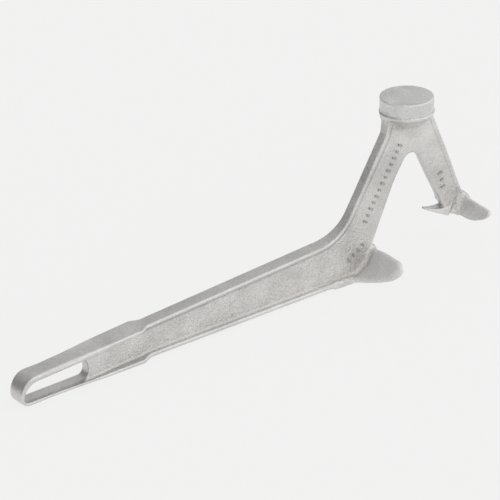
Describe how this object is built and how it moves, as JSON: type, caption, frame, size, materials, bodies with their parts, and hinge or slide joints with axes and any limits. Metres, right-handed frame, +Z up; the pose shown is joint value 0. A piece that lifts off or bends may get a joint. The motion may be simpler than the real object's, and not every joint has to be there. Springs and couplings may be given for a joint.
{
  "type": "pail lid opener",
  "caption": "Cast hand tool with a looped I-section handle, bent arm, round hammer face, rocker heel, toe plate and claw for opening and closing pail lids.",
  "frame": {"origin": "on the rest plane, under the middle of the tool's length, on its middle plane", "axes": "+X along the handle from the grip loop towards the hammer head, +Y across the tool, +Z up from the rest plane towards the hammer face"},
  "size_m": [0.3142, 0.072, 0.1044],
  "materials": {
    "cast_skin": "satin as-cast skin, fine even grain",
    "handled_skin": "tumbled cast skin, a little smoother where it is held",
    "struck_face": "ground flat face with a matt fine grain"
  },
  "bodies": {
    "root": {"grip_loop": "handled_skin", "grip_web": "cast_skin", "grip_top_flange": "handled_skin", "grip_lower_flange": "handled_skin", "shank_web": "cast_skin", "shank_top_flange": "handled_skin", "shank_lower_flange": "handled_skin", "elbow_web": "cast_skin", "elbow_strap": "cast_skin", "heel_rocker": "cast_skin", "arm_web": "cast_skin", "arm_strap": "cast_skin", "yoke": "cast_skin", "head_flare": "cast_skin", "hammer_head": "struck_face", "leg_web": "cast_skin", "leg_ridge": "cast_skin", "toe_foot": "cast_skin", "claw": "cast_skin", "arm_marks": "cast_skin", "elbow_marks": "cast_skin", "leg_marks": "cast_skin"}
  },
  "joints": []
}
